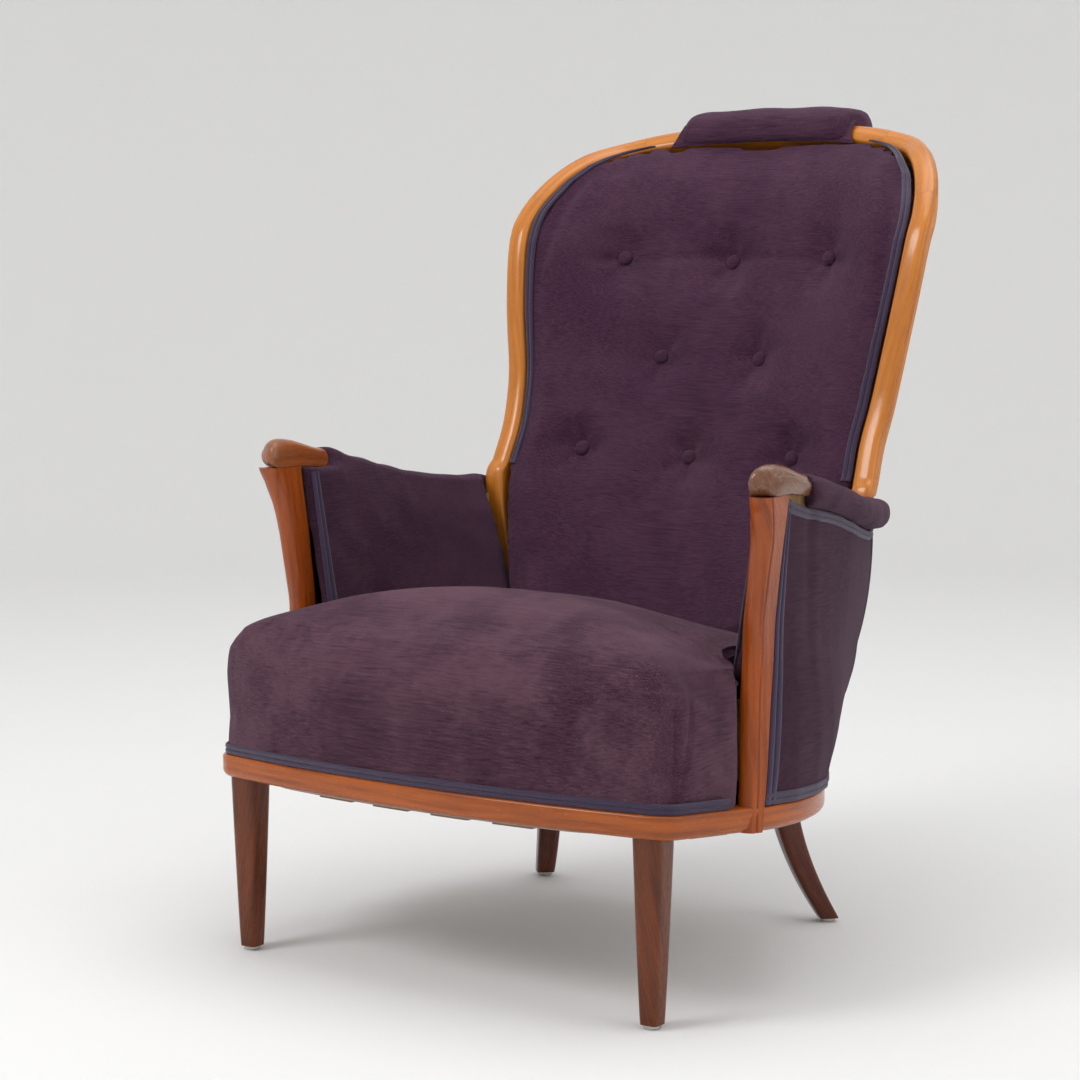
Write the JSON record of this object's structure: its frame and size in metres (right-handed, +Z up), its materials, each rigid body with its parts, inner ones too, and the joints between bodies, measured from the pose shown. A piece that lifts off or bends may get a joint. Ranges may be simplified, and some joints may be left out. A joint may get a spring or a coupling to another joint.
{
  "type": "fireside chair",
  "caption": "High-backed fireside chair with a show-wood frame, open-fronted upholstered arms, a sprung domed seat, a buttoned back and a head roll.",
  "frame": {"origin": "on the floor, under the middle of the chair's overall width and depth", "axes": "+Z up, -Y towards the front of the seat, +X towards the sitter's left"},
  "size_m": [0.7422, 0.849, 1.017],
  "materials": {
    "show_wood": "satin lacquer",
    "worn_wood": "worn satin",
    "dark_wood": "satin lacquer",
    "plain_wood": "raw",
    "cloth": "coarse ribbed weave",
    "braid": "corded",
    "jute": "coarse weave",
    "steel": "plated"
  },
  "bodies": {
    "root": {"seat_rail_front": "show_wood", "seat_rail_left": "show_wood", "seat_rail_right": "show_wood", "seat_rail_back": "show_wood", "tack_frame": "plain_wood", "corner_blocks": "plain_wood", "block_screws": "steel", "front_leg_left": "dark_wood", "front_leg_right": "dark_wood", "rear_leg_left": "dark_wood", "rear_leg_right": "dark_wood", "leg_dowels": "plain_wood", "foot_glides": "steel", "arm_post_left": "show_wood", "arm_post_right": "show_wood", "arm_knuckle_left": "worn_wood", "arm_knuckle_right": "worn_wood", "arm_rail_left": "plain_wood", "arm_rail_right": "plain_wood", "back_stile_left": "show_wood", "back_stile_right": "show_wood", "back_shoulder_left": "show_wood", "back_shoulder_right": "show_wood", "back_top_rail": "show_wood", "back_cross_rail": "plain_wood", "back_webbing": "jute", "seat_webbing": "jute", "seat_springs": "steel", "seat_hessian": "jute", "seat_cushion": "cloth", "seat_gimp": "braid", "dust_cover": "jute", "back_cushion": "cloth", "head_roll_pad": "cloth", "back_buttons": "cloth", "back_gimp": "braid", "outside_back": "cloth", "outside_back_gimp": "braid", "arm_pad_left": "cloth", "arm_pad_right": "cloth", "outside_arm_left": "cloth", "outside_arm_right": "cloth", "arm_gimp_left": "braid", "arm_gimp_right": "braid"}
  },
  "joints": []
}
